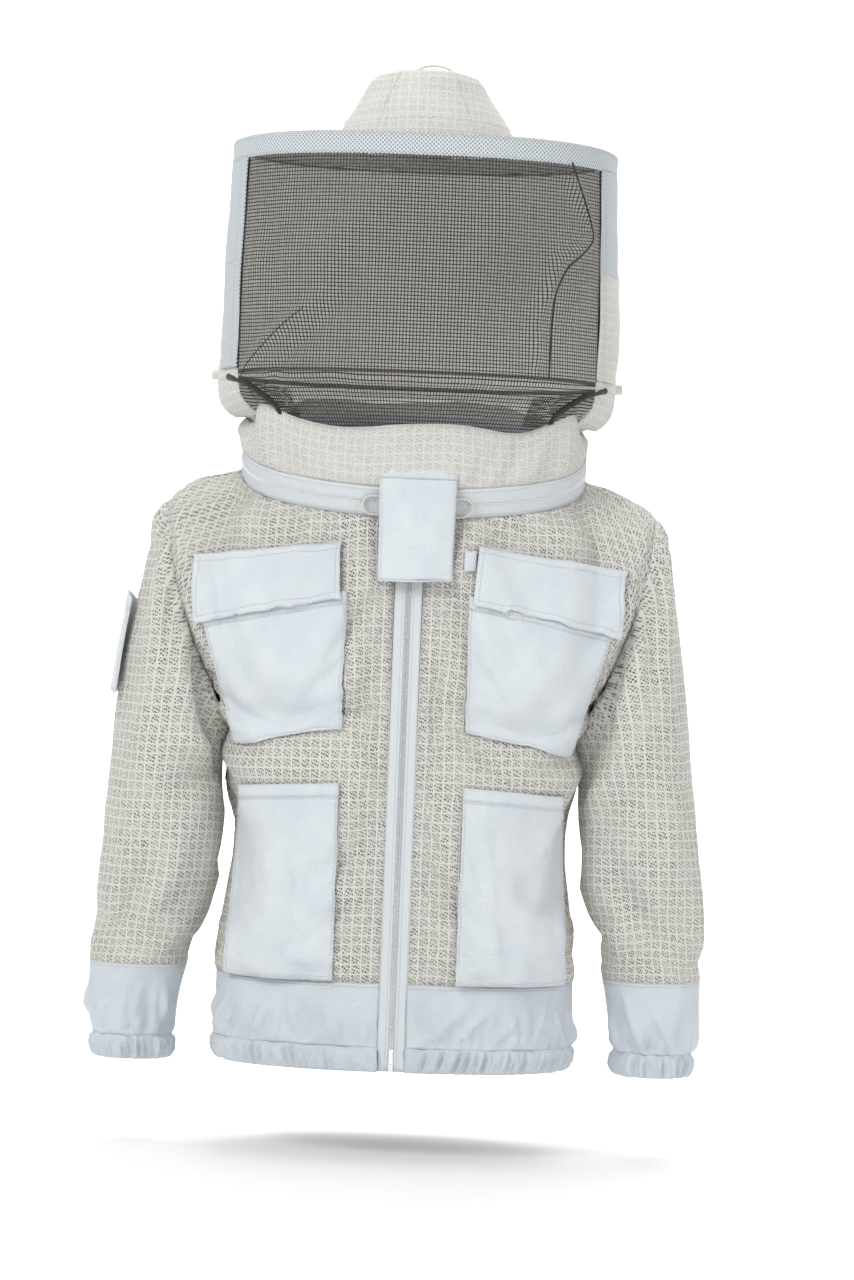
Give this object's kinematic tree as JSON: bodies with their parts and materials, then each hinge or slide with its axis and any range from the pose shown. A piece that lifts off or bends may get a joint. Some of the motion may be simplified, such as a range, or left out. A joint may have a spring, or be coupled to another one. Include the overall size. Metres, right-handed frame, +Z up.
{
  "type": "beekeeping jacket",
  "caption": "Ventilated beekeeping jacket with zip-off round hat-and-veil hood, front zip, throat flap, flapped chest pockets, lower pockets and elastic cuffs and hem",
  "frame": {"origin": "centre of the neck zip ring, where the garment sits on the wearer's shoulders", "axes": "+Z up, -Y the wearer's front, +X the wearer's left"},
  "size_m": [0.716, 0.3886, 1.169],
  "materials": {
    "mesh_cloth": "three-layer ventilated mesh, matt",
    "white_cotton": "cotton twill, matt",
    "elastic_band": "woven elastic",
    "hook_tape": "hook-and-loop tape",
    "zip_tape": "woven polyester tape",
    "zip_coil": "nylon coil",
    "slider_enamel": "white enamelled zinc",
    "white_cord": "braided cord",
    "veil_net": "black knitted net",
    "spacer_mesh": "spacer mesh",
    "black_binding": "black bias binding",
    "hoop_plastic": "white plastic",
    "brim_wire": "drawn wire"
  },
  "bodies": {
    "jacket": {"back_panel": "mesh_cloth", "chest_pocket_left": "white_cotton", "chest_pocket_right": "white_cotton", "cuff_casing_left": "white_cotton", "cuff_casing_right": "white_cotton", "cuff_elastic_left": "elastic_band", "cuff_elastic_right": "elastic_band", "cuff_left": "white_cotton", "cuff_right": "white_cotton", "front_panel_left": "mesh_cloth", "front_panel_right": "mesh_cloth", "hem_casing": "white_cotton", "hem_elastic": "elastic_band", "hook_strip_left": "hook_tape", "hook_strip_right": "hook_tape", "lower_pocket_left": "white_cotton", "lower_pocket_right": "white_cotton", "neck_zip_coil_lower": "zip_coil", "neck_zip_tape_lower": "zip_tape", "side_tag": "zip_tape", "sleeve_left": "mesh_cloth", "sleeve_pocket": "white_cotton", "sleeve_right": "mesh_cloth", "waistband_back": "white_cotton", "waistband_left": "white_cotton", "waistband_right": "white_cotton", "zip_coil_left": "zip_coil", "zip_coil_right": "zip_coil", "zip_retainer_box": "zip_coil", "zip_tape_left": "zip_tape", "zip_tape_right": "zip_tape"},
    "zip_runner": {"zip_slider": "slider_enamel", "zip_pull_bail": "slider_enamel"},
    "zip_pull": {"zip_pull_tab": "slider_enamel"},
    "neck_runner_left": {"neck_slider_left": "slider_enamel", "neck_pull_loop_left": "white_cord"},
    "neck_runner_right": {"neck_slider_right": "slider_enamel", "neck_pull_loop_right": "white_cord"},
    "pocket_flap_left": {"chest_flap_left": "white_cotton"},
    "pocket_flap_right": {"chest_flap_right": "white_cotton"},
    "hood": {"collar": "mesh_cloth", "neck_zip_tape_upper": "zip_tape", "neck_zip_coil_upper": "zip_coil", "veil_net": "veil_net", "hood_back": "mesh_cloth", "window_band_top": "spacer_mesh", "window_band_left": "spacer_mesh", "window_band_right": "spacer_mesh", "lower_hoop": "hoop_plastic", "hoop_end_left": "hoop_plastic", "hoop_end_right": "hoop_plastic", "hat_brim": "mesh_cloth", "brim_wire": "brim_wire", "hat_crown": "mesh_cloth", "hat_sweatband": "elastic_band", "hat_loop": "white_cord", "veil_binding_left": "black_binding", "veil_binding_right": "black_binding"},
    "collar_flap": {"throat_flap": "white_cotton"}
  },
  "joints": [
    {"name": "front_zip", "type": "slide", "parent": "jacket", "child": "zip_runner", "axis": [0, 0, -1], "range_m": [0, 0.6]},
    {"name": "zip_pull_swing", "type": "hinge", "parent": "zip_runner", "child": "zip_pull", "pos_m": [0, -0.1456, -0.083], "axis": [-1, 0, 0], "range_deg": [0, 150]},
    {"name": "neck_zip_left", "type": "hinge", "parent": "jacket", "child": "neck_runner_left", "pos_m": [0, 0.1231, 0.0448], "axis": [0, -0.342, 0.9397], "range_deg": [0, 22]},
    {"name": "neck_zip_right", "type": "hinge", "parent": "jacket", "child": "neck_runner_right", "pos_m": [0, 0.1231, 0.0448], "axis": [0, 0.342, -0.9397], "range_deg": [0, 22]},
    {"name": "pocket_flap_lift_left", "type": "hinge", "parent": "jacket", "child": "pocket_flap_left", "pos_m": [0.16785, -0.13168, -0.10845], "axis": [-0.9524, -0.2853, 0.1073], "range_deg": [0, 140]},
    {"name": "pocket_flap_lift_right", "type": "hinge", "parent": "jacket", "child": "pocket_flap_right", "pos_m": [-0.16793, -0.132, -0.10846], "axis": [-0.9513, 0.2889, -0.1072], "range_deg": [0, 140]},
    {"name": "hood_tip_back", "type": "hinge", "parent": "jacket", "child": "hood", "pos_m": [0, 0.13532, 0.04925], "axis": [-1, 0, 0], "range_deg": [0, 80]},
    {"name": "collar_flap_lift", "type": "hinge", "parent": "hood", "child": "collar_flap", "pos_m": [0.006, -0.1542, -0.013], "axis": [-1, 0, 0], "range_deg": [0, 140]}
  ]
}
